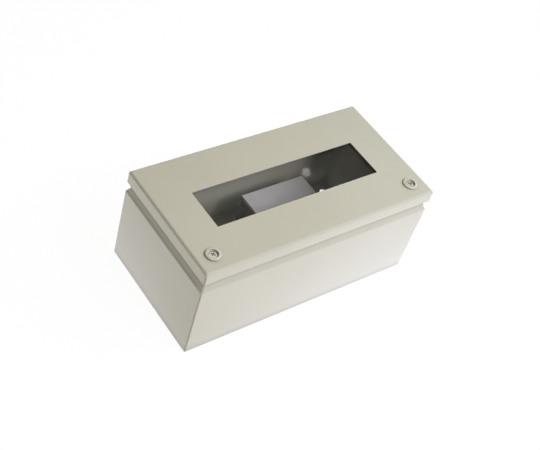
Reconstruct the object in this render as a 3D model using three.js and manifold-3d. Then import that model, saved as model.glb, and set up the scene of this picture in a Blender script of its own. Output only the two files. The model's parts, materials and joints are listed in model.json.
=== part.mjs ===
// Wall-mounting AC disconnect box: a folded steel enclosure with a hinged, glazed lid,
// held shut by two captive screws, with a rail-mounted rotary switch-disconnector inside.
// Millimetres. Origin: centre of the rear mounting face. +Z out through the lid,
// +X along the long side, +Y towards the lid's hinges.
import * as THREE from 'three';
import { mergeVertices } from 'three/addons/utils/BufferGeometryUtils.js';
import Module from 'manifold-3d';

const wasm = await Module();
wasm.setup();

// ---------------------------------------------------------------- driving dimensions
const LENGTH = 300;      // outside size of the closed box along X
const WIDTH = 150;       // along Y
const HEIGHT = 125;      // along Z
const SHEET = 1.5;       // steel thickness
const SKIRT = 15;        // depth of the lid's folded skirt
const LID_BEND = 3;
const BODY_BEND = 2.5;
const CORNER = 2;        // radius of the outside vertical corners
const INNER_CORNER = 1;
const NECK = 4;          // how far the body's neck sits in from its walls
const RIM = { z: 121, width: 9 };                        // gasket rim at the top of the neck
const LID_INNER = HEIGHT - SHEET;                        // underside of the lid
const WINDOW = { y: -0.8, halfX: 105.5, halfY: 25 };
const FIXING = { x: 134.5, y: 58.5, radius: 4.25 };      // wall-fixing holes
const LID_SCREW = { x: 130, y: -55, tip: 113.2, radius: 2.6 };
const HINGE = { x: 95, halfLength: 20, halfCentre: 7.5, gap: 0.5 };
const PIVOT = { y: 78.6, z: 108, knuckle: 3.3, bore: 1.8, pin: 1.5, head: 2.6 };
const STUD = { x: 118, y: 37.5, radius: 1.9 };           // glazing studs, about the window centre

// Top-hat rail, 35 x 7.5, and what carries it
const RAIL = { bottom: 22.5, top: 30, halfX: 112, wall: 12.5, flange: 17.5, thickness: 1 };
const SLOT = { pitch: 25, last: 100, halfLength: 7.5, radius: 2.8 };
const STANDOFF = { x: 100, halfX: 10, wall: 11.5, flange: 22 };

const EARTH_STUD = { x: -125, y: -10 };
const EARTH_BAR = { x: -75, y: -56, halfX: 17, bottom: 13.5, top: 22, screwOffset: 8 };

const SWITCH = { x: 29.5, halfX: 42.5, halfY: 45, bottom: 26, rim: 60, cover: 62.5, top: 64 };
const SWITCH_WALL = 2.5;
const CAVITY_FLOOR = 34;
const POLE_PITCH = 24.5;
const POLES = [-1, 0, 1].map((i) => SWITCH.x + i * POLE_PITCH);
const TERMINAL = { y: 34.5, z: 42 };   // terminal screw axis, and height of the wire entry
const STROKE = 9;                      // travel of the moving blades
const CRANK = { x: SWITCH.x, y: -16 }; // rotary handle axis

const SIDES = [['left', -1], ['right', 1]];
const CORNERS = [[-1, -1], [1, -1], [-1, 1], [1, 1]];
const CROSS_ARMS = [0, Math.PI / 2];

// ---------------------------------------------------------------- solids from geometry
// Welds a closed geometry into a solid, turning it outside out if its faces point inwards.
function solid(geometry) {
  for (const name of Object.keys(geometry.attributes)) {
    if (name !== 'position') geometry.deleteAttribute(name);
  }
  const welded = mergeVertices(geometry, 1e-4);
  const positions = welded.attributes.position.array;
  const index = welded.index.array;
  const triangles = [];
  let volume = 0;
  for (let i = 0; i < index.length; i += 3) {
    const corners = [index[i], index[i + 1], index[i + 2]];
    if (new Set(corners).size < 3) continue;
    triangles.push(...corners);
    const [a, b, c] = corners.map((k) => new THREE.Vector3().fromArray(positions, 3 * k));
    volume += a.dot(b.cross(c));
  }
  if (volume < 0) triangles.reverse();
  return new wasm.Manifold(new wasm.Mesh({
    numProp: 3,
    vertProperties: new Float32Array(positions),
    triVerts: new Uint32Array(triangles),
  }));
}

function geometryOf(manifold) {
  const mesh = manifold.getMesh();
  const geometry = new THREE.BufferGeometry();
  const positions = new Float32Array(mesh.vertProperties);
  geometry.setAttribute('position', new THREE.BufferAttribute(positions, 3));
  geometry.setIndex(new THREE.BufferAttribute(new Uint32Array(mesh.triVerts), 1));
  geometry.computeVertexNormals();
  return geometry;
}

const union = (...solids) => solids.reduce((a, b) => a.add(b));
const cut = (body, ...tools) => tools.reduce((a, b) => a.subtract(b), body);

// ---------------------------------------------------------------- spans and primitives
// A span is [low, high] along one axis.
const around = (centre, half) => [centre - half, centre + half];
const onSide = (side, low, high) => (side > 0 ? [low, high] : [-high, -low]);
const size = ([low, high]) => high - low;
const middle = ([low, high]) => (low + high) / 2;

const box = (xs, ys, zs) => solid(new THREE.BoxGeometry(size(xs), size(ys), size(zs))
  .translate(middle(xs), middle(ys), middle(zs)));
const rod = (radius, span, segments) => (
  new THREE.CylinderGeometry(radius, radius, size(span), segments));
const cylinderX = (radius, xs, y, z, segments = 16) => solid(rod(radius, xs, segments)
  .rotateZ(Math.PI / 2).translate(middle(xs), y, z));
const cylinderY = (radius, ys, x, z) => solid(rod(radius, ys, 12).translate(x, middle(ys), z));
const cylinderZ = (radius, zs, x, y, segments = 16) => solid(rod(radius, zs, segments)
  .rotateX(Math.PI / 2).translate(x, y, middle(zs)));
const hexagonZ = (acrossFlats, zs, x, y, turn) => solid(rod(acrossFlats / Math.sqrt(3), zs, 6)
  .rotateX(Math.PI / 2).rotateZ(turn).translate(x, y, middle(zs)));

function extrusion(points, depth) {
  const shape = new THREE.Shape(points.map(([a, b]) => new THREE.Vector2(a, b)));
  return new THREE.ExtrudeGeometry(shape, { depth, bevelEnabled: false });
}
const basis = (...axes) => (
  new THREE.Matrix4().makeBasis(...axes.map((axis) => new THREE.Vector3(...axis))));

// Profile in (Y, Z), run along X
const alongX = (points, xs) => solid(extrusion(points, size(xs))
  .applyMatrix4(basis([0, 1, 0], [0, 0, 1], [1, 0, 0])).translate(xs[0], 0, 0));
// Profile in (X, Z), run along Y
const alongY = (points, ys) => solid(extrusion(points, size(ys))
  .applyMatrix4(basis([1, 0, 0], [0, 0, 1], [0, -1, 0])).translate(0, ys[1], 0));
// Profile in (X, Y), run along Z
const alongZ = (points, zs) => solid(extrusion(points, size(zs)).translate(0, 0, zs[0]));
// Closed profile of (radius, z), turned about a vertical axis at (x, y)
const turned = (points, x, y, segments) => solid(new THREE.LatheGeometry(
  [...points, points[0]].map(([radius, z]) => new THREE.Vector2(radius, z)), segments,
).rotateX(Math.PI / 2).translate(x, y, 0));

function roundedRect(halfX, halfY, radius) {
  const steps = 3;
  const points = [];
  for (const [sx, sy, start] of [[1, 1, 0], [-1, 1, 90], [-1, -1, 180], [1, -1, 270]]) {
    for (let k = 0; k <= steps; k++) {
      const angle = THREE.MathUtils.degToRad(start + (90 * k) / steps);
      points.push([
        sx * (halfX - radius) + radius * Math.cos(angle),
        sy * (halfY - radius) + radius * Math.sin(angle),
      ]);
    }
  }
  return points;
}

// Solid skinned through rounded rectangles.
// Levels, upwards: z, inset from the outside walls, corner radius.
function skinned(levels) {
  const rings = levels.map(([z, inset, radius]) => (
    roundedRect(LENGTH / 2 - inset, WIDTH / 2 - inset, radius).map(([x, y]) => [x, y, z])));
  const count = rings[0].length;
  const last = (rings.length - 1) * count;
  const index = [];
  for (let ring = 0; ring < last; ring += count) {
    for (let i = 0; i < count; i++) {
      const a = ring + i;
      const b = ring + ((i + 1) % count);
      index.push(a, b, b + count, a, b + count, a + count);
    }
  }
  for (let i = 1; i < count - 1; i++) {
    index.push(0, i + 1, i, last, last + i, last + i + 1);
  }
  const geometry = new THREE.BufferGeometry();
  geometry.setAttribute('position', new THREE.Float32BufferAttribute(rings.flat(2), 3));
  geometry.setIndex(index);
  return solid(geometry);
}

// Levels from rows of z and inset beyond a base inset, all with one corner radius
const levelsOf = (rows, base, radius) => rows.map(([z, inset]) => [z, base + inset, radius]);
// Rows of z and inset round a bend, from the flat face at z; direction is +1 up or -1 down
const bend = (radius, direction, z) => [0, 1, 2, 3].map((k) => {
  const angle = THREE.MathUtils.degToRad(30 * k);
  return [z + direction * radius * (1 - Math.cos(angle)), radius * (1 - Math.sin(angle))];
});

// Seam groove down an outside vertical corner
function seam(sx, sy, zs) {
  const width = 0.5;
  const depth = 0.7;
  const setIn = CORNER * (1 - Math.SQRT1_2);
  return solid(new THREE.BoxGeometry(2 * depth, width, size(zs))
    .rotateZ(sx * sy * Math.PI / 4)
    .translate(sx * (LENGTH / 2 - setIn), sy * (WIDTH / 2 - setIn), middle(zs)));
}

// Top-hat section: wall is the inside half width, flange the outside half width.
// The hat opens towards base, whichever side of the crown that lies.
function topHat({ wall, flange, base, crown, thickness, centre = 0 }) {
  const rise = Math.sign(crown - base) * thickness;
  const half = [
    [wall, crown - rise], [wall, base], [flange, base],
    [flange, base + rise], [wall + thickness, base + rise], [wall + thickness, crown],
  ];
  const mirrored = half.map(([a, z]) => [-a, z]).reverse();
  return [...half, ...mirrored].map(([a, z]) => [centre + a, z]);
}

// Two crossed bars that cut a screw head's recess
const crossRecess = ({ length, width, depth, turn, x, y, z }) => union(
  ...CROSS_ARMS.map((angle) => solid(new THREE.BoxGeometry(length, width, depth)
    .rotateZ(angle + turn).translate(x, y, z))));

// ---------------------------------------------------------------- finishes
const paint = (color, { roughness, metalness = 0 }) => (
  new THREE.MeshStandardMaterial({ color, roughness, metalness }));
const FINISH = {
  coat: () => paint(0xcfcabb, { roughness: 0.45, metalness: 0.1 }),
  zinc: () => paint(0xb4b6b8, { roughness: 0.35, metalness: 0.9 }),
  steel: () => paint(0xc2c2c0, { roughness: 0.3, metalness: 0.95 }),
  cream: () => paint(0xd9d4bf, { roughness: 0.5 }),
  nylon: () => paint(0xe6e3da, { roughness: 0.55 }),
  rubber: () => paint(0x26262a, { roughness: 0.85 }),
  glaze: () => new THREE.MeshStandardMaterial({
    color: 0xe4ecec, roughness: 0.05, metalness: 0, transparent: true, opacity: 0.25,
  }),
  moulding: () => paint(0x2b2b2e, { roughness: 0.6 }),
  lilac: () => paint(0xa9a5ac, { roughness: 0.5 }),
  copper: () => paint(0xb87a54, { roughness: 0.35, metalness: 1 }),
  brass: () => paint(0xc0a35a, { roughness: 0.35, metalness: 1 }),
  handle: () => paint(0x1e1f22, { roughness: 0.45 }),
};

const root = new THREE.Group();
root.name = 'ac_disconnect_box';
const enclosure = new THREE.Group();
const lid = new THREE.Group();
root.add(enclosure, lid);

function part(parent, name, manifold, finish) {
  const mesh = new THREE.Mesh(geometryOf(manifold), FINISH[finish]());
  mesh.name = name;
  parent.add(mesh);
}

// ---------------------------------------------------------------- enclosure body
// Outside, above the bottom bend: z, inset from the walls
const OUTER_WALL = [
  [95.3, 0], [96.4, 0.15], [97.3, 0.55], [98.1, 1.1], [102.8, 3.2], [104.0, 3.75], [105.2, NECK],
  [119.0, NECK], [120.1, NECK + 0.3], [120.7, NECK + 0.9], [RIM.z, NECK + 2],
];
// Inside: z, inset beyond the sheet thickness
const INNER_WALL = [
  [SHEET, 1], [SHEET + 0.3, 0.3], [SHEET + 1, 0],
  [95.0, 0], [96.0, 0.2], [97.0, 0.7], [101.9, 3], [103.6, 3.75], [104.9, NECK],
  [RIM.z - SHEET, NECK],
];

function bodyShell() {
  const opening = NECK + RIM.width;
  let shell = cut(
    skinned(levelsOf([...bend(BODY_BEND, 1, 0), ...OUTER_WALL], 0, CORNER)),
    skinned(levelsOf(INNER_WALL, SHEET, INNER_CORNER)),
    skinned([[RIM.z - SHEET - 1, opening, 4], [RIM.z + 1, opening, 4]]),
  );
  for (const [sx, sy] of CORNERS) {
    shell = cut(
      shell,
      cylinderZ(FIXING.radius, [-1, SHEET + 1], sx * FIXING.x, sy * FIXING.y, 20),
      seam(sx, sy, [1.5, 95.5]),
    );
  }
  return shell;
}

// Corner plate under the rim, drilled for the rivet nut
function screwPlate(side) {
  const outerX = side * (LENGTH / 2 - NECK - SHEET);
  const innerX = side * 117;
  const outerY = -(WIDTH / 2 - NECK - SHEET);
  const innerY = -45;
  const outline = [
    [innerX, outerY], [outerX - side * 1.5, outerY], [outerX, outerY + 1.5],
    [outerX, innerY], [outerX - side * 3, innerY], [innerX, innerY - 8],
  ];
  const hole = cylinderZ(4.2, [114, 117], side * LID_SCREW.x, LID_SCREW.y);
  return cut(alongZ(outline, [114.5, 116.5]), hole);
}

// Radius, z
const RIVET_NUT = [
  [3.1, 112.6], [4.1, 112.6], [4.1, 116.5], [5.6, 116.5], [5.6, 116.9], [5.3, 117.2], [3.1, 117.2],
];

part(enclosure, 'body_shell', bodyShell(), 'coat');
for (const [name, side] of SIDES) {
  const nut = turned(RIVET_NUT, side * LID_SCREW.x, LID_SCREW.y, 16);
  part(enclosure, `screw_plate_${name}`, screwPlate(side), 'coat');
  part(enclosure, `rivet_nut_${name}`, nut, 'zinc');
}

// ---------------------------------------------------------------- hinges
const LEAF = [WIDTH / 2, WIDTH / 2 + SHEET];   // leaves lie on the +Y wall

const knuckle = (xs) => cylinderX(PIVOT.knuckle, xs, PIVOT.y, PIVOT.z, 18);
const pinBore = (x) => (
  cylinderX(PIVOT.bore, around(x, HINGE.halfLength + 1), PIVOT.y, PIVOT.z));

// Body leaf, with a knuckle at each end
function bodyLeaf(x) {
  const near = HINGE.halfCentre + HINGE.gap;
  const ends = [[x - HINGE.halfLength, x - near], [x + near, x + HINGE.halfLength]];
  const leaf = union(
    box(around(x, HINGE.halfLength), LEAF, [78, 104.2]),
    ...ends.map((xs) => box(xs, LEAF, [104, PIVOT.z])),
    ...ends.map(knuckle),
  );
  return cut(leaf, pinBore(x));
}

// Lid leaf, with one knuckle in the middle
function lidLeaf(x) {
  const centre = around(x, HINGE.halfCentre);
  const leaf = union(
    box(around(x, HINGE.halfLength), LEAF, [111.7, 121.2]),
    box(centre, LEAF, [PIVOT.z, 112]),
    knuckle(centre),
  );
  return cut(leaf, pinBore(x));
}

function hingePin(x) {
  const end = x + HINGE.halfLength;
  return union(
    cylinderX(PIVOT.pin, [x - HINGE.halfLength - 1.5, end], PIVOT.y, PIVOT.z),
    cylinderX(PIVOT.head, [end, end + 1.4], PIVOT.y, PIVOT.z),
  );
}

for (const [name, side] of SIDES) {
  const x = side * HINGE.x;
  part(enclosure, `hinge_body_leaf_${name}`, bodyLeaf(x), 'coat');
  part(lid, `hinge_lid_leaf_${name}`, lidLeaf(x), 'coat');
  part(enclosure, `hinge_pin_${name}`, hingePin(x), 'zinc');
}

// ---------------------------------------------------------------- lid
const LID_BOTTOM = HEIGHT - SKIRT;
const THROUGH_LID = around(HEIGHT, 5);
// Outside: z, inset from the walls
const LID_OUTER_WALL = [[LID_BOTTOM, 0], ...bend(LID_BEND, -1, HEIGHT).reverse()];
// Inside: z, inset beyond the sheet thickness
const LID_INNER_WALL = [
  [LID_BOTTOM - 1, 0], [HEIGHT - LID_BEND, 0], [LID_INNER - 0.6, 0.4], [LID_INNER, 1.5],
];

const windowBox = (margin, zs) => (
  box(around(0, WINDOW.halfX + margin), around(WINDOW.y, WINDOW.halfY + margin), zs));
const STUDS = CORNERS.map(([sx, sy]) => [sx * STUD.x, WINDOW.y + sy * STUD.y]);

// Lid sheet with its window and screw holes, and its welded glazing and earth studs
function lidShell() {
  const weld = LID_INNER + 0.2;
  const shell = cut(
    skinned(levelsOf(LID_OUTER_WALL, 0, CORNER)),
    skinned(levelsOf(LID_INNER_WALL, SHEET, INNER_CORNER)),
    windowBox(0, THROUGH_LID),
    ...SIDES.map(([, side]) => cylinderZ(4.8, THROUGH_LID, side * LID_SCREW.x, LID_SCREW.y)),
    ...CORNERS.map(([sx, sy]) => seam(sx, sy, [LID_BOTTOM - 1, HEIGHT - LID_BEND])),
  );
  return union(
    shell,
    ...STUDS.map(([x, y]) => cylinderZ(STUD.radius, [113.5, weld], x, y)),
    cylinderZ(2.9, [108, weld], -126, 30, 20),
  );
}

function lidGasket() {
  const bottom = RIM.z + 0.05;
  return cut(
    skinned([[bottom, 5.5, 4], [LID_INNER, 5.5, 4]]),
    skinned([[bottom - 1, 12.5, 2], [LID_INNER + 1, 12.5, 2]]),
  );
}

part(lid, 'lid_shell', lidShell(), 'coat');
part(lid, 'lid_gasket', lidGasket(), 'rubber');

// Glazing, stacked down from the lid: gasket, pane, frame and nuts
const PANE_MARGIN = 9;
const PANE_TOP = LID_INNER - 1;
const PANE_BOTTOM = PANE_TOP - 3;
const FRAME_BOTTOM = PANE_BOTTOM - SHEET;

const windowGasket = () => cut(
  windowBox(PANE_MARGIN, [PANE_TOP, LID_INNER]),
  windowBox(2.2, [PANE_TOP - 0.5, LID_INNER + 0.5]),
);
const glazingFrame = () => cut(
  box(around(0, 123), around(WINDOW.y, 42.5), [FRAME_BOTTOM, PANE_BOTTOM]),
  windowBox(5.5, [117, 120]),
  ...STUDS.map(([x, y]) => cylinderZ(2.3, [117, 120], x, y)),
);
const frameNut = (x, y, turn) => cut(
  hexagonZ(7, [FRAME_BOTTOM - 3.2, FRAME_BOTTOM], x, y, turn),
  cylinderZ(2.05, [114, 119], x, y, 20),
);

part(lid, 'window_gasket', windowGasket(), 'rubber');
part(lid, 'window_pane', windowBox(PANE_MARGIN, [PANE_BOTTOM, PANE_TOP]), 'glaze');
part(lid, 'glazing_frame', glazingFrame(), 'zinc');
STUDS.forEach(([x, y], i) => {
  part(lid, `frame_nut_${i + 1}`, frameNut(x, y, 0.2 * (i + 1)), 'zinc');
});

// ---------------------------------------------------------------- lid screws
// Profiles: radius, z
const SCREW_CUP = [
  [2.95, 123.5], [4.6, 123.5], [4.6, 125.0], [8.5, 125.0], [8.3, 126.1], [7.3, 127.0],
  [5.8, 127.1], [5.3, 126.2], [2.95, 123.9],
];
const LID_SCREW_PROFILE = [
  [0, LID_SCREW.tip], [LID_SCREW.radius - 0.5, LID_SCREW.tip],
  [LID_SCREW.radius, LID_SCREW.tip + 0.6], [LID_SCREW.radius, 123.9],
  [4.85, 126.15], [4.7, 126.5], [3.6, 126.85], [0, 127.0],
];
const SCREW_RETAINER = [[2.9, 117.4], [5.0, 117.4], [5.0, 118.4], [2.9, 118.4]];
const RECESS_TURN = { left: 0.35, right: 0.95 };

for (const [name, side] of SIDES) {
  const x = side * LID_SCREW.x;
  const { y } = LID_SCREW;
  const recess = crossRecess({
    length: 5.6, width: 1.1, depth: 3, turn: RECESS_TURN[name], x, y, z: 126.9,
  });
  part(lid, `screw_cup_${name}`, turned(SCREW_CUP, x, y, 20), 'cream');
  part(lid, `lid_screw_${name}`, cut(turned(LID_SCREW_PROFILE, x, y, 20), recess), 'steel');
  part(lid, `screw_retainer_${name}`, turned(SCREW_RETAINER, x, y, 16), 'nylon');
}

// ---------------------------------------------------------------- rail and its standoffs
// Radius, z
const RAIL_SCREW = [
  [0, 15], [2.4, 15], [2.4, 23.5], [4.6, 23.5], [4.6, 24.8], [3.9, 26.0], [2.2, 26.5], [0, 26.5],
];

function railStandoff(x) {
  const section = topHat({ ...STANDOFF, base: SHEET, crown: RAIL.bottom, thickness: SHEET });
  return cut(alongX(section, around(x, STANDOFF.halfX)), cylinderZ(2.8, [20, 24], x, 0));
}

const railScrew = (x) => cut(
  turned(RAIL_SCREW, x, 0, 12),
  crossRecess({ length: 5, width: 1, depth: 2.4, turn: 0.5, x, y: 0, z: 26.4 }),
);

function railSlot(x) {
  const zs = [22, 24];
  const reach = SLOT.halfLength - SLOT.radius;
  return union(
    box(around(x, reach), around(0, SLOT.radius), zs),
    ...around(x, reach).map((end) => cylinderZ(SLOT.radius, zs, end, 0, 8)),
  );
}

function dinRail() {
  const section = topHat({ ...RAIL, base: RAIL.top, crown: RAIL.bottom });
  let rail = alongX(section, around(0, RAIL.halfX));
  for (let x = -SLOT.last; x <= SLOT.last; x += SLOT.pitch) rail = cut(rail, railSlot(x));
  return rail;
}

for (const [name, side] of SIDES) {
  part(enclosure, `rail_standoff_${name}`, railStandoff(side * STANDOFF.x), 'zinc');
  part(enclosure, `rail_screw_${name}`, railScrew(side * STANDOFF.x), 'zinc');
}
part(enclosure, 'din_rail', dinRail(), 'zinc');

// ---------------------------------------------------------------- earthing
const BAR_SCREWS = around(EARTH_BAR.x, EARTH_BAR.screwOffset);
// Radius, z
const BAR_SCREW = [[0, 20], [1.95, 20], [1.95, 22], [3.2, 22], [3.2, 24.2], [0, 24.4]];

const earthNut = ({ x, y }) => cut(
  hexagonZ(10, [SHEET, 6.5], x, y, 0.3), cylinderZ(3.15, [0, 8], x, y, 24));

const earthBarSupport = () => alongY(topHat({
  centre: EARTH_BAR.x, wall: 17.5, flange: 29, base: SHEET, crown: EARTH_BAR.bottom,
  thickness: SHEET,
}), around(EARTH_BAR.y, 6));

// Bar with a cross hole and a screw hole at each screw
const earthBar = () => cut(
  box(around(EARTH_BAR.x, EARTH_BAR.halfX), around(EARTH_BAR.y, 5),
    [EARTH_BAR.bottom, EARTH_BAR.top]),
  ...BAR_SCREWS.map((x) => cylinderY(2.4, around(EARTH_BAR.y, 6), x, 17.4)),
  ...BAR_SCREWS.map((x) => cylinderZ(2.15, [17, 23], x, EARTH_BAR.y)),
);

// Headed screw with one slot across its top, along X
const slottedScrew = (profile, x, y, halfSlot, slotZ) => cut(
  turned(profile, x, y, 12), box(around(x, 4), around(y, halfSlot), slotZ));

part(enclosure, 'earth_stud', cylinderZ(3, [SHEET, 22], EARTH_STUD.x, EARTH_STUD.y, 20), 'brass');
part(enclosure, 'earth_nut', earthNut(EARTH_STUD), 'brass');
part(enclosure, 'earth_bar_support', earthBarSupport(), 'zinc');
part(enclosure, 'earth_bar', earthBar(), 'brass');
BAR_SCREWS.forEach((x, i) => {
  const screw = slottedScrew(BAR_SCREW, x, EARTH_BAR.y, 0.4, [23.4, 25]);
  part(enclosure, `earth_bar_screw_${i + 1}`, screw, 'zinc');
});

// ---------------------------------------------------------------- switch body
const SWITCH_X = around(SWITCH.x, SWITCH.halfX);
const CAVITY_Y = SWITCH.halfY - SWITCH_WALL;
// Y, z: the underside is notched over the rail, undercut on the -Y side of +Y flange
const BASE_PROFILE = [
  [-SWITCH.halfY, SWITCH.bottom], [-18.3, SWITCH.bottom], [-18.3, RAIL.top], [18.3, RAIL.top],
  [18.3, 28.7], [15.2, 28.7], [15.2, SWITCH.bottom], [SWITCH.halfY, SWITCH.bottom],
  [SWITCH.halfY, SWITCH.rim], [-SWITCH.halfY, SWITCH.rim],
];

function switchBase() {
  const base = cut(
    alongX(BASE_PROFILE, SWITCH_X),
    box(around(SWITCH.x, SWITCH.halfX - SWITCH_WALL), around(0, CAVITY_Y),
      [CAVITY_FLOOR, SWITCH.rim + 1]),
    box(around(SWITCH.x, 10.4), [-SWITCH.halfY - 1, -18], [25, 29]),
  );
  const barriers = around(SWITCH.x, POLE_PITCH / 2).flatMap((x) => (
    [[22, CAVITY_Y + 0.5], [-CAVITY_Y - 0.5, -26.5]].map((ys) => (
      box(around(x, 0.8), ys, [CAVITY_FLOOR - 0.5, 57])))));
  const wireEntries = POLES.flatMap((x) => [1, -1].map((side) => (
    cylinderY(4.2, onSide(side, SWITCH.halfY - 4, SWITCH.halfY + 1), x, TERMINAL.z))));
  return cut(union(base, ...barriers), ...wireEntries);
}

// Cover with screwdriver holes and a shaft hole
const switchCover = () => cut(
  box(SWITCH_X, around(0, SWITCH.halfY), [SWITCH.rim, SWITCH.cover]),
  ...POLES.flatMap((x) => (
    [-TERMINAL.y, TERMINAL.y].map((y) => cylinderZ(3.6, [59, 63], x, y, 12)))),
  cylinderZ(4.5, [59, 63], CRANK.x, CRANK.y),
);

// Y, z: angled shroud on the cover, turned down over the +Y face
const SHROUD_PROFILE = [
  [14, SWITCH.cover], [SWITCH.halfY, SWITCH.cover], [SWITCH.halfY, 48],
  [SWITCH.halfY + 1.2, 48], [SWITCH.halfY + 1.2, SWITCH.top - 0.4],
  [SWITCH.halfY + 0.8, SWITCH.top], [14, SWITCH.top],
];

part(enclosure, 'switch_base', switchBase(), 'moulding');
part(enclosure, 'switch_cover', switchCover(), 'lilac');
part(enclosure, 'line_shroud', alongX(SHROUD_PROFILE, SWITCH_X), 'lilac');

// ---------------------------------------------------------------- terminals
// Radius, z
const TERMINAL_SCREW = [[0, 45], [2.4, 45], [2.4, 50], [3.1, 50], [3.1, 52.3], [0, 52.5]];

// Clamp block with a strip running inwards to a C-shaped contact, open towards -X
function terminal(x, side) {
  const contactY = onSide(side, 10, 18);
  const body = union(
    box(around(x, 6), onSide(side, 28, 41), [CAVITY_FLOOR, 50]),
    box([x - 2, x + 5.2], onSide(side, 10, 28.5), [38.2, 39.6]),
    box([x - 2, x + 5.2], contactY, [42.4, 43.6]),
    box([x + 4, x + 5.2], contactY, [38.2, 43.6]),
  );
  return cut(
    body,
    cylinderY(3.6, onSide(side, 31, 42), x, TERMINAL.z),
    cylinderZ(2.7, [42, 51], x, side * TERMINAL.y, 12),
  );
}

POLES.forEach((x, i) => {
  for (const [kind, side] of [['line', 1], ['load', -1]]) {
    const screw = slottedScrew(TERMINAL_SCREW, x, side * TERMINAL.y, 0.45, [51.4, 53]);
    part(enclosure, `${kind}_terminal_${i + 1}`, terminal(x, side), 'copper');
    part(enclosure, `${kind}_terminal_screw_${i + 1}`, screw, 'zinc');
  }
});

// ---------------------------------------------------------------- rail clip and rotary drive
// Clip under the base that hooks the rail, with a slotted tongue at its -Y end
const railClip = () => cut(
  union(
    box(around(SWITCH.x, 10), [-47, -15.2], [26.2, 28.7]),
    box(around(SWITCH.x, 6), [-51, -46.5], [24.8, 28.7]),
  ),
  box(around(SWITCH.x, 3), [-49.6, -48], [24, 30]),
);

const PIN_X = CRANK.x - STROKE / 2;   // crank pin that drives the carriage

// Disc, crank pin, round shaft and square end
const crankShaft = () => union(
  cylinderZ(9, [48.4, 51.4], CRANK.x, CRANK.y, 18),
  cylinderZ(2, [44.8, 48.6], PIN_X, CRANK.y + STROKE / 2, 10),
  cylinderZ(4, [51.2, 62.9], CRANK.x, CRANK.y),
  box(around(CRANK.x, 2.6), around(CRANK.y, 2.6), [62.7, 69]),
);

// Disc: radius, z
const KNOB_DISC = [[0, 63], [15, 63], [15, 65.5], [14, 66.8], [12.5, 67.4], [0, 67.4]];
// Grip: y from the crank axis, z
const KNOB_GRIP = [[-5, 66.5], [5, 66.5], [4.2, 79], [3.4, 80], [-3.4, 80], [-4.2, 79]];

const switchHandle = () => cut(
  union(
    turned(KNOB_DISC, CRANK.x, CRANK.y, 24),
    alongX(KNOB_GRIP.map(([y, z]) => [y + CRANK.y, z]), around(CRANK.x, 17)),
  ),
  box(around(CRANK.x, 2.9), around(CRANK.y, 2.9), [62, 69.3]),
);

const BLADES = POLES.map((x) => x - STROKE);
const BLADE_HALF = 3;

// Plate with a boss over each blade and a slot for the crank pin
const contactCarriage = () => cut(
  union(
    box(around(SWITCH.x - STROKE, 29), [-17, 8], [44.3, 48]),
    ...BLADES.map((x) => box(around(x, BLADE_HALF), around(0, 6), [42, 44.5])),
  ),
  box(around(PIN_X, 2.8), [-14.6, -6.6], [43, 49]),
);

// Flat bar along Y with chamfered ends
function movingBlade(x) {
  const [halfEnd, shoulder, end] = [1.5, 15, 17];
  return alongZ([
    [x - BLADE_HALF, -shoulder], [x - halfEnd, -end], [x + halfEnd, -end],
    [x + BLADE_HALF, -shoulder], [x + BLADE_HALF, shoulder], [x + halfEnd, end],
    [x - halfEnd, end], [x - BLADE_HALF, shoulder],
  ], [40, 42]);
}

part(enclosure, 'rail_clip', railClip(), 'handle');
part(enclosure, 'crank_shaft', crankShaft(), 'steel');
part(enclosure, 'switch_handle', switchHandle(), 'handle');
part(enclosure, 'contact_carriage', contactCarriage(), 'nylon');
BLADES.forEach((x, i) => part(enclosure, `moving_blade_${i + 1}`, movingBlade(x), 'copper'));

export default root;
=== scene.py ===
"""A sheet-steel box with a hinged, glazed lid, holding a rotary switch-disconnector on a rail.

The box lies on its back on the floor with its lid facing +Z. Its long side runs along X, the
hinges are on the +Y wall and the lid screws are near the -Y wall. Meshes are built in
millimetres and scaled when finished; lengths in shaders, lights and the camera are metres.
"""
import bpy
import bmesh
import json
import math
import numpy as np
from mathutils import Matrix, Vector

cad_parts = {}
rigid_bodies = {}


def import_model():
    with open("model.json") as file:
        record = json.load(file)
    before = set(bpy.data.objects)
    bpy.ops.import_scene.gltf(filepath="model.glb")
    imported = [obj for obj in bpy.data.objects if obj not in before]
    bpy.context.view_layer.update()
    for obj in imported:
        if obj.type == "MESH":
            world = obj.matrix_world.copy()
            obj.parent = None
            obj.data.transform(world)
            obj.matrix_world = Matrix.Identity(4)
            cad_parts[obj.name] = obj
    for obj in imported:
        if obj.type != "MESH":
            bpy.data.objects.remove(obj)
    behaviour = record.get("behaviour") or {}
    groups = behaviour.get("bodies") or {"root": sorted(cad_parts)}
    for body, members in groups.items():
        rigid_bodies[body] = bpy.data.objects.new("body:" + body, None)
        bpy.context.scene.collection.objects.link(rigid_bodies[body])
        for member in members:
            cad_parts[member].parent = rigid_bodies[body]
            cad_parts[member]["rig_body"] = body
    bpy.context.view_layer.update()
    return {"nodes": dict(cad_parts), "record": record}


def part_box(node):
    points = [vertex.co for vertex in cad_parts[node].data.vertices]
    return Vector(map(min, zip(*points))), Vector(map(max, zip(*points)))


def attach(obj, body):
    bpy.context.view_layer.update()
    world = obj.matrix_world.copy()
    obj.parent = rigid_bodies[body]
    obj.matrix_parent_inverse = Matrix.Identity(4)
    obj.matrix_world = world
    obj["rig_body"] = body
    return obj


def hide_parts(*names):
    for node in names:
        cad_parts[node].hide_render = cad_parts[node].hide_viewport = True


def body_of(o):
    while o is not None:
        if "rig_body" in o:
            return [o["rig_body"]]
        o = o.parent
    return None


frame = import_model()
NODES = frame["nodes"]
MM = 0.001
scene = bpy.context.scene


# ------------------------------------------------------------------ shader nodes
MIDDLE = (0.3, 0.7)  # the band that holds most of a noise's values


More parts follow.
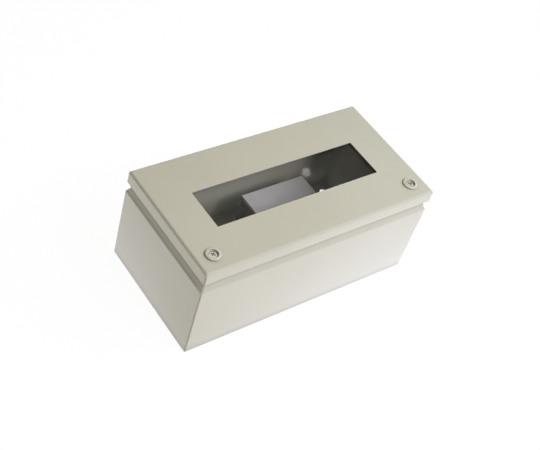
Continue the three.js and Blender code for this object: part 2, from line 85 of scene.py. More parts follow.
class Nodes:
    """The node tree of a material or a world, laid out by short methods."""

    def __init__(self, owner, output, coordinates):
        owner.use_nodes = True
        self.owner = owner
        self.tree = owner.node_tree
        self.tree.nodes.clear()
        self.output = self.tree.nodes.new("ShaderNodeOutput" + output)
        self.place = self.node("TexCoord")[coordinates]

    def node(self, kind, inputs=None, **props):
        """Add a node, fill its inputs with values or linked sockets, and return its outputs."""
        made = self.tree.nodes.new("ShaderNode" + kind)
        for key, value in props.items():
            setattr(made, key, value)
        for key, value in (inputs or {}).items():
            socket = made.inputs[key]
            if isinstance(value, bpy.types.NodeSocket):
                self.tree.links.new(value, socket)
            elif socket.type == "RGBA":
                socket.default_value = (*value, 1)
            else:
                socket.default_value = value
        return made.outputs

    def surface(self, shader):
        self.tree.links.new(shader, self.output.inputs["Surface"])
        return self.owner

    def scaled(self, x, y, z):
        return self.node("Mapping", {"Vector": self.place, "Scale": (x, y, z)})["Vector"]

    def noise(self, scale, detail, rough=0.5, vector=None, distortion=0.0):
        inputs = {"Vector": vector or self.place, "Scale": scale, "Detail": detail}
        inputs.update({"Roughness": rough, "Distortion": distortion})
        return self.node("TexNoise", inputs)["Fac"]

    def span(self, value, across=MIDDLE, to=(0, 1), **props):
        """Map one range of a value to another, clamped."""
        inputs = {"Value": value, "From Min": across[0], "From Max": across[1]}
        inputs.update({"To Min": to[0], "To Max": to[1]})
        return self.node("MapRange", inputs, clamp=True, **props)["Result"]

    def calc(self, operation, first, second):
        return self.node("Math", {0: first, 1: second}, operation=operation)[0]

    def dot(self, vector, direction):
        return self.node("VectorMath", {0: vector, 1: direction}, operation="DOT_PRODUCT")["Value"]

    def mix(self, factor, first, second):
        return self.node("Mix", {"Factor": factor, 6: first, 7: second}, data_type="RGBA")[2]

    def tint(self, colour, target, mask, across=MIDDLE, amount=1):
        """Turn a colour to a target where the mask passes through a range."""
        return self.mix(self.span(mask, across, to=(0, amount)), colour, target)

    def overlay(self, colour, target, mask, amount):
        return self.mix(self.calc("MULTIPLY", mask, amount), colour, target)

    def shaded(self, colour, target, distance, across, amount):
        """Paint shade into crevices: turn a colour to a target where ambient occlusion finds them.
        """
        inputs = {"Distance": distance}
        open_sky = self.node("AmbientOcclusion", inputs, samples=6)["AO"]
        return self.tint(colour, target, open_sky, across, amount)

    def edge(self, radius):
        """0 on flat faces, 1 on edges and corners."""
        softened = self.node("Bevel", {"Radius": radius}, samples=4)["Normal"]
        normal = self.node("NewGeometry")["Normal"]
        return self.span(self.dot(softened, normal), across=(0.995, 0.75))

    def bump(self, height, strength, distance, normal=None):
        inputs = {"Strength": strength, "Distance": distance, "Height": height}
        if normal is not None:
            inputs["Normal"] = normal
        return self.node("Bump", inputs)["Normal"]

    def principled(self, inputs):
        return self.surface(self.node("BsdfPrincipled", inputs)["BSDF"])

    def background(self, colour, strength=1.0):
        return self.node("Background", {"Color": colour, "Strength": strength})[0]

    def add_shaders(self, first, second):
        return self.node("AddShader", {0: first, 1: second})[0]

    def mix_shaders(self, factor, first, second):
        return self.node("MixShader", {0: factor, 1: first, 2: second})[0]


def material_nodes(name):
    return Nodes(bpy.data.materials.new(name), "Material", "Object")


def linear(rgb):
    """Linear colour from sRGB levels of 0 to 255."""
    parts = [level / 255 for level in rgb]
    return tuple(p / 12.92 if p <= 0.04045 else ((p + 0.055) / 1.055) ** 2.4 for p in parts)


def tone(colour, gain, lift=0.0):
    return [min(1, part * gain + lift) for part in colour]


# ------------------------------------------------------------------ materials
def powder_coat(name, rgb, rough):
    """Mottled coat with painted shade darkening its crevices, paler on rubbed edges, with faint
    scuffs.
    """
    coat = material_nodes(name)
    base = linear(rgb)
    cloud = coat.noise(scale=9, detail=3, rough=0.55)
    mottle = coat.noise(scale=70, detail=3, rough=0.6)
    grain = coat.noise(scale=900, detail=2)
    speck = coat.noise(scale=2600, detail=1)
    colour = coat.tint(tone(base, gain=0.965), tone(base, gain=1.03), mask=cloud)
    warm = [base[0] * 1.03, base[1], base[2] * 0.96]
    colour = coat.tint(colour, warm, mask=mottle, across=(0.35, 0.75), amount=0.35)
    dark = tone(base, gain=0.8)
    colour = coat.tint(colour, dark, mask=grain, across=(0.62, 0.72), amount=0.12)
    # painted shade: the coat turns darker where ambient occlusion finds a crevice, such as the
    # shoulder under the lid's skirt
    dark = tone(base, gain=0.42)
    colour = coat.shaded(colour, dark, distance=0.014, across=(0.95, 0.45), amount=0.55)
    edge = coat.edge(radius=0.0009)
    patches = coat.noise(scale=160, detail=3, rough=0.6)
    wear = coat.calc("MULTIPLY", edge, coat.span(patches, across=(0.35, 0.65), to=(0.15, 1.0)))
    colour = coat.overlay(colour, tone(base, gain=1.22, lift=0.03), mask=wear, amount=0.28)
    tall = coat.scaled(1, 1, 0.35)
    scuff = coat.noise(scale=260, detail=5, rough=0.75, vector=tall, distortion=1.5)
    dark = tone(base, gain=0.62)
    colour = coat.tint(colour, dark, mask=scuff, across=(0.68, 0.8), amount=0.10)
    matt = coat.span(grain, to=(rough - 0.05, rough + 0.07))
    normal = coat.bump(grain, strength=0.12, distance=0.00012)
    normal = coat.bump(mottle, strength=0.05, distance=0.0004, normal=normal)
    normal = coat.bump(speck, strength=0.06, distance=0.00005, normal=normal)
    polish = coat.calc("MULTIPLY", wear, -0.06)
    return coat.principled({
        "Base Color": colour, "Roughness": coat.calc("ADD", matt, polish), "Normal": normal,
        "Specular IOR Level": 0.42, "Coat Weight": 0.06, "Coat Roughness": 0.3})


def metal(name, rgb, rough, stain, blotch, grain=(1, 1, 1), grain_scale=900, bump=0.12):
    """Streaked metal with painted shade in small recesses; stain is the blotches' colour, and
    grain stretches the streaks.
    """
    plate = material_nodes(name)
    base = linear(rgb)
    streak = plate.noise(grain_scale, detail=3, rough=0.6, vector=plate.scaled(*grain))
    cloud = plate.noise(scale=130, detail=4, rough=0.6, distortion=0.6)
    colour = plate.tint(tone(base, gain=0.84), tone(base, gain=1.1), mask=streak)
    colour = plate.tint(colour, linear(stain), mask=cloud, across=(0.5, 0.72), amount=blotch)
    edge = plate.edge(radius=0.0005)
    colour = plate.overlay(colour, tone(base, gain=1.35, lift=0.05), mask=edge, amount=0.45)
    # painted shade: nearly black in small recesses, such as the cross recesses of screw heads
    dark = tone(base, gain=0.1)
    colour = plate.shaded(colour, dark, distance=0.0025, across=(0.75, 0.3), amount=0.8)
    cloud_rough = plate.span(cloud, to=(rough - 0.07, rough + 0.1))
    streak_rough = plate.span(streak, to=(-0.04, 0.05))
    return plate.principled({
        "Base Color": colour, "Metallic": 1.0,
        "Roughness": plate.calc("ADD", cloud_rough, streak_rough),
        "Normal": plate.bump(streak, strength=bump, distance=0.00006)})


def plastic(name, rgb, rough, grain_scale, bump, dust, subsurface=0.0, painted_shade_x=None):
    """Moulded plastic with flow marks and dust; the last argument, when given, is the X range over
    which painted shade darkens it.
    """
    mould = material_nodes(name)
    base = linear(rgb)
    grain = mould.noise(grain_scale, detail=2, rough=0.55)
    cloud = mould.noise(scale=60, detail=3, rough=0.55)
    wide = mould.scaled(1, 0.35, 1)
    flow = mould.noise(scale=25, detail=4, rough=0.6, vector=wide, distortion=1.2)
    pale = tone(base, gain=1.05, lift=0.002)
    colour = mould.tint(tone(base, gain=0.94), pale, mask=cloud)
    pale = tone(base, gain=1.08, lift=0.002)
    colour = mould.tint(colour, pale, mask=flow, across=(0.45, 0.75), amount=0.25)
    # painted shade: darker towards +X, where less light through the window reaches the moulding
    if painted_shade_x:
        along_x = mould.dot(mould.place, (1, 0, 0))
        colour = mould.tint(colour, tone(base, gain=0.55), along_x, across=painted_shade_x, amount=0.7)
    edge = mould.edge(radius=0.0006)
    colour = mould.overlay(colour, tone(base, gain=1.25, lift=0.02), mask=edge, amount=0.25)
    specks = mould.noise(scale=420, detail=4, rough=0.7)
    dust_colour = linear((196, 192, 184))
    colour = mould.tint(colour, dust_colour, mask=specks, across=(0.55, 0.8), amount=dust)
    return mould.principled({
        "Base Color": colour, "Roughness": mould.span(grain, to=(rough - 0.06, rough + 0.08)),
        "Normal": mould.bump(grain, strength=bump, distance=0.00008),
        "Specular IOR Level": 0.45, "Subsurface Weight": subsurface, "Subsurface Scale": 0.002})


def foam(name, rgb):
    """Foamed rubber with fine open cells."""
    rubber = material_nodes(name)
    base = linear(rgb)
    inputs = {"Vector": rubber.place, "Scale": 1400}
    cell = rubber.node("TexVoronoi", inputs, feature="F1")["Distance"]
    grain = rubber.noise(scale=500, detail=3, rough=0.6)
    pale = tone(base, gain=1.5, lift=0.004)
    colour = rubber.tint(tone(base, gain=0.6), pale, mask=cell, across=(0.1, 0.5))
    edge = rubber.edge(radius=0.0006)
    colour = rubber.overlay(colour, tone(base, gain=1.6, lift=0.01), mask=edge, amount=0.2)
    normal = rubber.bump(cell, strength=0.5, distance=0.0002)
    normal = rubber.bump(grain, strength=0.2, distance=0.0003, normal=normal)
    return rubber.principled({
        "Base Color": colour, "Roughness": rubber.span(grain, to=(0.8, 0.95)),
        "Normal": normal, "Specular IOR Level": 0.25})


def clear_sheet(name, mirror):
    """See-through, with a faint mirror on its front faces only, smears and hairline scratches."""
    pane = material_nodes(name)
    fresnel = pane.node("Fresnel", {"IOR": 1.49})[0]
    front = pane.calc("SUBTRACT", 1.0, pane.node("NewGeometry")["Backfacing"])
    squeezed = pane.scaled(1, 2.2, 1)
    smear = pane.noise(scale=22, detail=4, rough=0.65, vector=squeezed, distortion=0.8)
    glass = pane.tint((0.955, 0.965, 0.955), (0.975, 0.98, 0.975), mask=smear)
    clear = pane.node("BsdfTransparent", {"Color": glass})[0]
    gloss_rough = pane.span(smear, across=(0.4, 0.7), to=(0.03, 0.05))
    gloss = pane.node("BsdfGlossy", {"Roughness": gloss_rough, "Color": (0.9, 0.93, 0.92)})[0]
    haze = pane.node("BsdfDiffuse", {"Color": (0.7, 0.72, 0.72)})[0]
    scratch = pane.noise(scale=700, detail=1, rough=0.4, vector=pane.scaled(0.06, 1, 1))
    edge = pane.edge(radius=0.0004)
    smear_haze = pane.span(smear, across=(0.45, 0.8), to=(0.012, 0.026))
    scratch_haze = pane.span(scratch, across=(0.70, 0.76), to=(0.0, 0.02))
    amount = pane.calc("ADD", smear_haze, scratch_haze)
    amount = pane.calc("ADD", amount, pane.calc("MULTIPLY", edge, 0.05))
    amount = pane.calc("MULTIPLY", amount, front)
    reflected = pane.calc("MULTIPLY", pane.calc("MULTIPLY", fresnel, front), mirror)
    sheet = pane.mix_shaders(reflected, clear, gloss)
    return pane.surface(pane.mix_shaders(amount, sheet, haze))


# material slot: (builder, settings)
FINISHES = {
    "powder_coat": (powder_coat, dict(rgb=(193, 189, 172), rough=0.44)),
    "zinc_steel": (metal, dict(
        rgb=(186, 188, 191), rough=0.44, stain=(164, 169, 172), blotch=0.4, bump=0.05)),
    "stainless": (metal, dict(
        rgb=(226, 227, 229), rough=0.2, stain=(170, 170, 166), blotch=0.25,
        grain=(1, 1, 0.2), grain_scale=1200)),
    "cream_plastic": (plastic, dict(
        rgb=(196, 193, 177), rough=0.42, grain_scale=1100, bump=0.12, dust=0.06,
        subsurface=0.08)),
    "nylon": (plastic, dict(
        rgb=(222, 219, 208), rough=0.5, grain_scale=900, bump=0.12, dust=0.03,
        subsurface=0.15)),
    "rubber": (foam, dict(rgb=(46, 46, 50))),
    "glazing": (clear_sheet, dict(mirror=0.5)),
    "black_moulding": (plastic, dict(
        rgb=(42, 42, 44), rough=0.58, grain_scale=1300, bump=0.35, dust=0.05)),
    # this moulding carries painted shade across X, darker towards +X
    "light_grey_moulding": (plastic, dict(
        rgb=(216, 204, 200), rough=0.46, grain_scale=1600, bump=0.14, dust=0.04,
        painted_shade_x=(0.0, 0.072))),
    "copper": (metal, dict(
        rgb=(196, 128, 96), rough=0.28, stain=(150, 92, 66), blotch=0.4, grain=(1, 0.15, 1))),
    "brass": (metal, dict(
        rgb=(200, 168, 96), rough=0.3, stain=(164, 130, 66), blotch=0.4, grain=(1, 0.2, 1),
        grain_scale=800)),
    "black_handle": (plastic, dict(
        rgb=(30, 30, 33), rough=0.4, grain_scale=1500, bump=0.2, dust=0.05)),
}
MATERIALS = {slot: build(slot, **settings) for slot, (build, settings) in FINISHES.items()}
SLOT_OF = {part["node"]: part["material_slot"] for part in frame["record"]["subparts"]}
BODY_OF = {node: body_of(obj)[0] for node, obj in NODES.items()}


def use(obj, slot):
    obj.data.materials.clear()
    obj.data.materials.append(MATERIALS[slot])


# ------------------------------------------------------------------ outlines
CORNER_STEPS = 6


def around(middle, half):
    return (middle - half, middle + half)


def beyond(start, end):
    """A span with 1 mm to spare at each end, for cutting right through."""
    return (start - 1, end + 1)


def raised(height, profile):
    """(radius, height) pairs moved along the axis."""
    return [(radius, height + rise) for radius, rise in profile]


def circle(radius, centre=(0.0, 0.0), count=40, turn=0.0):
    angles = [turn + 2 * math.pi * i / count for i in range(count)]
    return [(centre[0] + radius * math.cos(a), centre[1] + radius * math.sin(a)) for a in angles]


def rounded(corners, radius, steps=5):
    """Polygon with rounded corners; radius is one value or a list with one for each corner."""
    outline = []
    for i in range(len(corners)):
        wanted = radius[i] if isinstance(radius, list) else radius
        corner = Vector(corners[i])
        back = Vector(corners[i - 1]) - corner
        ahead = Vector(corners[(i + 1) % len(corners)]) - corner
        longest = [back.length * 0.48, ahead.length * 0.48]
        back, ahead = back / back.length, ahead / ahead.length
        angle = math.acos(max(-1, min(1, back.dot(ahead))))
        if wanted <= 0 or angle > math.radians(178):
            outline.append(tuple(corner))
            continue
        tangent = min(wanted / math.tan(angle / 2), *longest)
        fitted = tangent * math.tan(angle / 2)
        centre = corner + (back + ahead).normalized() * (fitted / math.sin(angle / 2))
        start = corner + back * tangent - centre
        end = corner + ahead * tangent - centre
        first = math.atan2(start.y, start.x)
        turn = (math.atan2(end.y, end.x) - first + math.pi) % (2 * math.pi) - math.pi
        for k in range(steps + 1):
            a = first + turn * k / steps
            outline.append((centre.x + fitted * math.cos(a), centre.y + fitted * math.sin(a)))
    return outline


def corners_of(u_span, v_span):
    return [(u_span[0], v_span[0]), (u_span[1], v_span[0]),
            (u_span[1], v_span[1]), (u_span[0], v_span[1])]


def rounded_rect(u_span, v_span, radius, steps=5):
    return rounded(corners_of(u_span, v_span), radius, steps)


def centred_rect(half_x, half_y, radius, steps=CORNER_STEPS):
    corners = [(half_x, -half_y), (half_x, half_y), (-half_x, half_y), (-half_x, -half_y)]
    return rounded(corners, radius, steps)


# ------------------------------------------------------------------ solids
def loft(rings, loop=False):
    """Skin rings of equal count; the ends are capped, or joined if loop is set."""
    count, last = len(rings[0]), len(rings) - 1
    faces = []
    for k in range(last + 1 if loop else last):
        near, far = k * count, ((k + 1) % len(rings)) * count
        for i in range(count):
            j = (i + 1) % count
            faces.append((near + i, near + j, far + j, far + i))
    if not loop:
        faces.append(tuple(reversed(range(count))))
        faces.append(tuple(last * count + i for i in range(count)))
    bm = bmesh.new()
    verts = [bm.verts.new(point) for ring in rings for point in ring]
    for face in faces:
        bm.faces.new([verts[i] for i in face])
    bmesh.ops.remove_doubles(bm, verts=bm.verts, dist=1e-4)
    bmesh.ops.recalc_face_normals(bm, faces=bm.faces)
    mesh = bpy.data.meshes.new("raw")
    bm.to_mesh(mesh)
    bm.free()
    obj = bpy.data.objects.new("raw", mesh)
    scene.collection.objects.link(obj)
    return obj


# A point of an outline, set at a distance along each axis.
ALONG = {
    "x": lambda u, v, distance: (distance, u, v),
    "y": lambda u, v, distance: (u, distance, v),
    "z": lambda u, v, distance: (u, v, distance),
}


def prism(outline, span, axis="z"):
    """Polygon run along an axis. Its points are (Y, Z), (X, Z) or (X, Y)."""
    return loft([[ALONG[axis](u, v, end) for u, v in outline] for end in span])


def box(x_span, y_span, z_span):
    return prism(corners_of(x_span, y_span), z_span)


def rod(radius, span, centre, axis="z", count=40):
    return prism(circle(radius, centre, count), span, axis)


def lathe(profile, centre=(0.0, 0.0), axis="z", count=48):
    """(radius, height) pairs, from axis to axis or closed on themselves, turned about an axis."""
    solid = profile[0][0] < 1e-6 and profile[-1][0] < 1e-6
    rings = [[ALONG[axis](u, v, height) for u, v in circle(radius, centre, count)]
             for radius, height in profile]
    return loft(rings, loop=not solid)


def skinned(levels, half_x, half_y):
    """Solid skinned through rounded rectangles: levels are (z, inset, corner radius)."""
    return loft([[(x, y, z) for x, y in centred_rect(half_x - inset, half_y - inset, radius)]
                 for z, inset, radius in levels])


def seal(profile, half_x, half_y, radius, step, middle_y=0.0, wobble=0.0):
    """Closed section of (z, inset) points run round a rounded rectangle.

    radius gives the corner radius for an inset, step is the spacing of points along the
    straight sides, and wobble is the unevenness in height.
    """
    rings = []
    for k, (z, inset) in enumerate(profile):
        outline = centred_rect(half_x - inset, half_y - inset, radius(inset))
        lines = list(zip(outline, outline[1:] + outline[:1]))
        if k == 0:
            # a straight side follows the last point of each corner
            counts = [max(1, int(math.dist(*line) / step)) if (j + 1) % (CORNER_STEPS + 1) == 0
                      else 1 for j, line in enumerate(lines)]
        ring = []
        for (start, end), count in zip(lines, counts):
            for i in range(count):
                x = start[0] + (end[0] - start[0]) * i / count
                y = start[1] + (end[1] - start[1]) * i / count
                rise = 0
                if 0 < k < len(profile) - 1:
                    wave = math.sin(x * 0.41 + 1.3 * math.sin(y * 0.23)) * math.cos(y * 0.37)
                    rise = wobble * (0.5 + 0.5 * wave)
                ring.append((x, middle_y + y, z + rise))
        rings.append(ring)
    return loft(rings, loop=True)


def boolean(target, operation, tools):
    for tool in tools:
        modifier = target.modifiers.new("b", "BOOLEAN")
        modifier.operation = operation
        modifier.solver = "MANIFOLD"
        modifier.object = tool
    evaluated = target.evaluated_get(bpy.context.evaluated_depsgraph_get())
    mesh = bpy.data.meshes.new_from_object(evaluated)
    old = target.data
    target.modifiers.clear()
    target.data = mesh
    bpy.data.meshes.remove(old)
    for tool in tools:
        old = tool.data
        bpy.data.objects.remove(tool)
        bpy.data.meshes.remove(old)
    return target


def cut(target, *tools):
    return boolean(target, "DIFFERENCE", tools)


def join(target, *tools):
    return boolean(target, "UNION", tools)


def placed(obj, centre, twist=0.0):
    move = Matrix.Translation((*centre, 0.0))
    obj.data.transform(move @ Matrix.Rotation(twist, 4, "Z"))
    return obj


def threaded(radius, depth, pitch, span, centre, count):
    """Rod with a right-hand thread and tapered ends."""
    bottom, top = span
    rows = max(4, int((top - bottom) / pitch * 8))
    rings = []
    for i in range(rows + 1):
        z = bottom + (top - bottom) * i / rows
        lead = depth * max(0.0, 1 - min(z - bottom, top - z) / (0.8 * pitch))
        ring = []
        for k in range(count):
            a = 2 * math.pi * k / count
            phase = (z / pitch - a / (2 * math.pi)) % 1
            crest = min(1.0, max(0.0, (abs(2 * phase - 1) - 0.1) / 0.78))
            reach = min(radius - depth * (1 - crest), radius - lead * 1.15)
            ring.append((centre[0] + reach * math.cos(a), centre[1] + reach * math.sin(a), z))
        rings.append(ring)
    return loft(rings)


def cross_recess(centre, top, depth, arm, width, twist):
    """Cutter for a cross recess: a plus that tapers as it goes down, rounded at the hub."""
    rings = []
    for z, scale in ((top + 0.6, 1.1), (top, 1.0), (top - depth * 0.55, 0.72),
                     (top - depth, 0.34)):
        tip = arm * scale
        side = width * (0.6 + 0.4 * scale) / 2
        hub = side * 1.75
        quarter = [(tip, -side), (tip, side), (hub, side), (side, hub)]
        plus = quarter + [
            (side, tip), (-side, tip), (-side, hub), (-hub, side),
            (-tip, side), (-tip, -side), (-hub, -side), (-side, -hub),
            (-side, -tip), (side, -tip), (side, -hub), (hub, -side)]
        cos, sin = math.cos(twist), math.sin(twist)
        rings.append([(centre[0] + u * cos - v * sin, centre[1] + u * sin + v * cos, z)
                      for u, v in plus])
    return loft(rings)


def nut(flats, bore, span, centre, turn):
    """Hexagon nut: chamfered corners and a countersunk bore; flats is its width across them."""
    bottom, top = span
    corner = flats / math.sqrt(3)
    chamfer = 0.5 * (corner - flats / 2)
    body = prism(circle(corner, count=6, turn=turn), span)
    cone = lathe([
        (0, bottom), (flats / 2, bottom), (corner + 0.02, bottom + chamfer + 0.001),
        (corner + 0.02, top - chamfer), (flats / 2, top), (0, top)])
    body = boolean(body, "INTERSECT", [cone])
    wide = bore + 0.5
    hole = raised(bottom, [(0, -1), (wide, -1), (wide, 0), (bore, 0.5)])
    hole += raised(top, [(bore, -0.5), (wide, 0), (wide, 1), (0, 1)])
    return placed(cut(body, lathe(hole, count=32)), centre)


# ------------------------------------------------------------------ finishing pieces
def rounding(obj, width, angle, steps):
    """Bevel edges sharper than an angle in degrees, and weight the normals."""
    bevel = obj.modifiers.new("edge", "BEVEL")
    bevel.width = width * MM
    bevel.segments = steps
    bevel.limit_method = "ANGLE"
    bevel.angle_limit = math.radians(angle)
    bevel.use_clamp_overlap = True
    bevel.miter_outer = "MITER_ARC"
    normals = obj.modifiers.new("normals", "WEIGHTED_NORMAL")
    normals.mode = "FACE_AREA_WITH_ANGLE"
    normals.weight = 60
    normals.keep_sharp = True


def finish(obj, name, slot, body, stands=(), bevel=0.15, angle=32, steps=2, dissolve=0.4):
    """Name a piece, scale it to metres, give it its material, body and rounded edges.

    stands lists the CAD nodes it stands for; dissolve merges faces flat to that many degrees.
    """
    bm = bmesh.new()
    bm.from_mesh(obj.data)
    bmesh.ops.remove_doubles(bm, verts=bm.verts, dist=2e-4)
    if dissolve:
        limit = math.radians(dissolve)
        bmesh.ops.dissolve_limit(bm, angle_limit=limit, verts=bm.verts, edges=bm.edges)
    bmesh.ops.scale(bm, vec=(MM, MM, MM), verts=bm.verts)
    for face in bm.faces:
        face.smooth = True
    bm.to_mesh(obj.data)
    bm.free()
    obj.name = name
    obj.data.name = name
    use(obj, slot)
    if bevel:
        rounding(obj, bevel, angle, steps)
    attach(obj, body)
    if stands:
        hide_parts(*stands)


def remake(obj, node, name=None, **looks):
    """Finish a finer piece in place of one CAD node."""
    finish(obj, name or node + "_fine", SLOT_OF[node], BODY_OF[node], (node,), **looks)


def bounds(node):
    low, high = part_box(node)
    return low * 1000, high * 1000


def axis_of(node):
    low, high = bounds(node)
    return (low.x + high.x) / 2, (low.y + high.y) / 2


# ------------------------------------------------------------------ enclosure body
SHEET = 1.5       # thickness of the steel
CORNER = 2.0      # outer radius of the upright corners
NECK = 4.0        # how far the rim is set in from the walls
RIM_WIDTH = 9.0   # flat flange round the opening
SIDES = (("left", -1), ("right", 1))
CORNERS = [(-1, -1), (-1, 1), (1, -1), (1, 1)]
BODY_LOW, BODY_HIGH = bounds("body_shell")
HALF_X, HALF_Y, RIM = BODY_HIGH

# (z, inset) of the shoulder that leads in to the rim, outside and inside
SHOULDER = [(95.3, 0), (96.4, 0.15), (97.3, 0.55), (98.1, 1.1), (102.8, 3.2), (104.0, 3.75),
            (105.2, NECK)]
SHOULDER_INSIDE = [(95.0, 0), (96.0, 0.2), (97.0, 0.7), (101.9, 3.0), (103.6, 3.75),
                   (104.9, NECK)]


def bend(radius, up, z, steps=8):
    """Levels of a quarter bend from a flat face at z, running up (1) or down (-1)."""
    turns = [math.radians(90 * k / steps) for k in range(steps + 1)]
    return [(z + up * radius * (1 - math.cos(a)), radius * (1 - math.sin(a)), CORNER)
            for a in turns]


def smooth_levels(points, count):
    """Monotone curve through (z, inset) points."""
    z, inset = np.array(points, dtype=float).T
    gap = np.diff(z)
    slope = np.diff(inset) / gap
    tangent = np.zeros_like(inset)
    for i in range(1, len(inset) - 1):
        if slope[i - 1] * slope[i] > 0:
            before, after = 2 * gap[i] + gap[i - 1], gap[i] + 2 * gap[i - 1]
            tangent[i] = (before + after) / (before / slope[i - 1] + after / slope[i])
    levels = []
    for height in np.linspace(z[0], z[-1], count):
        i = min(len(gap) - 1, max(0, int(np.searchsorted(z, height, side="right") - 1)))
        t = (height - z[i]) / gap[i]
        start = (1 + 2 * t) * (1 - t) ** 2 * inset[i] + t * (1 - t) ** 2 * gap[i] * tangent[i]
        end = t * t * (3 - 2 * t) * inset[i + 1] + t * t * (t - 1) * gap[i] * tangent[i + 1]
        levels.append((float(height), float(start + end)))
    return levels


def seam(side_x, side_y, z_span):
    """Cutter for the fine upright line on one corner."""
    inset = CORNER * (1 - math.sqrt(0.5))
    centre = (side_x * (HALF_X - inset), side_y * (HALF_Y - inset))
    return placed(box(around(0, 0.7), around(0, 0.25), z_span), centre,
                  side_x * side_y * math.pi / 4)


def make_body():
    outer = bend(2.5, 1, BODY_LOW.z)
    outer += [(z, inset, CORNER) for z, inset in smooth_levels(SHOULDER, 18)]
    outer += [(RIM - drop, NECK + inset, CORNER)
              for drop, inset in ((2.0, 0), (0.9, 0.3), (0.35, 0.85), (0, 1.8))]
    floor = BODY_LOW.z + SHEET
    inner = [(floor, 1.0), (floor + 0.12, 0.5), (floor + 0.5, 0.12), (floor + 1.0, 0)]
    inner += smooth_levels(SHOULDER_INSIDE, 14) + [(RIM - SHEET, NECK)]
    inner = [(z, SHEET + inset, 1) for z, inset in inner]
    opening = [(z, NECK + RIM_WIDTH, 4) for z in (RIM - SHEET - 1, RIM + 1)]
    body = cut(*[skinned(levels, HALF_X, HALF_Y) for levels in (outer, inner, opening)])
    tools = []
    for side_x, side_y in CORNERS:
        tools.append(rod(4.25, (-1, SHEET + 1), (side_x * 134.5, side_y * 58.5), count=48))
        tools.append(seam(side_x, side_y, (1.5, 95.5)))
    body = cut(body, *tools)
    remake(body, "body_shell", "enclosure_body", bevel=0.22, angle=34, steps=3, dissolve=0.3)


def make_screw_plate(side, sign):
    """Corner plate under a lid screw."""
    node = f"screw_plate_{side}"
    low, high = bounds(node)
    inner, outer = (high.x, low.x) if sign < 0 else (low.x, high.x)
    outline = [(inner, low.y), (outer - sign * 1.5, low.y), (outer, low.y + 1.5),
               (outer, -45), (outer - sign * 3, -45), (inner, -53)]
    plate = prism(rounded(outline, [0.5, 0.4, 0.4, 0.5, 1.5, 1.5]), (low.z, high.z))
    hole = rod(4.2, beyond(low.z, high.z), axis_of(f"lid_screw_{side}"), count=48)
    remake(cut(plate, hole), node, bevel=0.25)


def make_rivet_nut(side):
    node = f"rivet_nut_{side}"
    low, high = bounds(node)
    profile = raised(low.z, [(3.1, 0), (3.5, 0), (4.0, 0.5), (4.1, 0.9), (4.1, 3.9),
                             (5.45, 3.9), (5.6, 4.1)])
    profile += raised(high.z, [(5.5, -0.2), (5.2, 0), (3.4, 0), (3.1, -0.3)])
    z = high.z - 0.5
    while z > low.z + 0.6:
        profile += raised(z, [(3.1, 0), (2.86, -0.2), (2.86, -0.3), (3.1, -0.5)])
        z -= 0.8
    remake(lathe(profile, axis_of(f"lid_screw_{side}"), count=40), node, bevel=0)


make_body()
for side, sign in SIDES:
    make_screw_plate(side, sign)
    make_rivet_nut(side)


# ------------------------------------------------------------------ hinges
KNUCKLE = 7.5  # half length of the lid leaf's barrel


def make_hinge(side):
    low, high = bounds(f"hinge_body_leaf_{side}")
    pin_low, pin_high = bounds(f"hinge_pin_{side}")
    pin = ((pin_low.y + pin_high.y) / 2, (pin_low.z + pin_high.z) / 2)
    middle, half = (low.x + high.x) / 2, (high.x - low.x) / 2
    leaf_y = (low.y, low.y + SHEET)
    radius = high.y - pin[0] - 0.005
    whole, centre = around(middle, half), around(middle, KNUCKLE)
    ends = [(whole[0], middle - KNUCKLE - 0.5), (middle + KNUCKLE + 0.5, whole[1])]

    def plate(z_span, corner):
        return prism(rounded_rect(whole, z_span, corner, 6), leaf_y, "y")

    def bore():
        return rod(1.8, beyond(*whole), pin, "x", 40)

    def dimples(spread, z):
        profile = raised(leaf_y[1], [(0, -0.28), (0.7, -0.2), (1.5, 0), (1.6, 0.3), (0, 0.3)])
        return [lathe(profile, (middle + x, z), "y", 28) for x in (-spread, 0, spread)]

    leaf = join(plate((low.z, 104.2), 2.2), *[box(end, leaf_y, (102.5, pin[1])) for end in ends],
                *[rod(radius, end, pin, "x", 56) for end in ends])
    groove_y = (leaf_y[1] - 0.02, leaf_y[1] + 0.35)
    leaf = cut(leaf, bore(), *dimples(13, 89), box(beyond(*whole), groove_y, (104.55, 104.8)))
    remake(leaf, f"hinge_body_leaf_{side}", bevel=0.2, steps=3)
    lid_top = bounds(f"hinge_lid_leaf_{side}")[1].z
    leaf = join(plate((111.7, lid_top), 1.6), box(centre, leaf_y, (pin[1], 113)),
                rod(radius, centre, pin, "x", 56))
    leaf = cut(leaf, bore(), *dimples(14, 116.6))
    remake(leaf, f"hinge_lid_leaf_{side}", bevel=0.2, steps=3)
    profile = raised(pin_low.x, [(0, 0), (1.0, 0), (1.35, 0.2), (1.5, 0.6)])
    profile += raised(pin_high.x, [(1.5, -1.4), (2.5, -1.4), (2.6, -1.25), (2.55, -0.7),
                                   (2.2, -0.3), (1.4, -0.05), (0, 0)])
    remake(lathe(profile, pin, "x", 40), f"hinge_pin_{side}", bevel=0)


for side, _ in SIDES:
    make_hinge(side)

# ------------------------------------------------------------------ lid
TOP = 125.0
SKIRT = 15.0  # depth of the lid's walls
PANE_LOW, PANE_HIGH = bounds("window_pane")
PANE_LAP = 9  # how far the pane reaches under the lid round the window
WINDOW_HALF_X = PANE_HIGH.x - PANE_LAP
WINDOW_Y = (PANE_LOW.y + PANE_LAP, PANE_HIGH.y - PANE_LAP)


def window_outline(margin, radius, steps):
    return rounded_rect(around(0, WINDOW_HALF_X + margin),
                        (WINDOW_Y[0] - margin, WINDOW_Y[1] + margin), radius, steps)


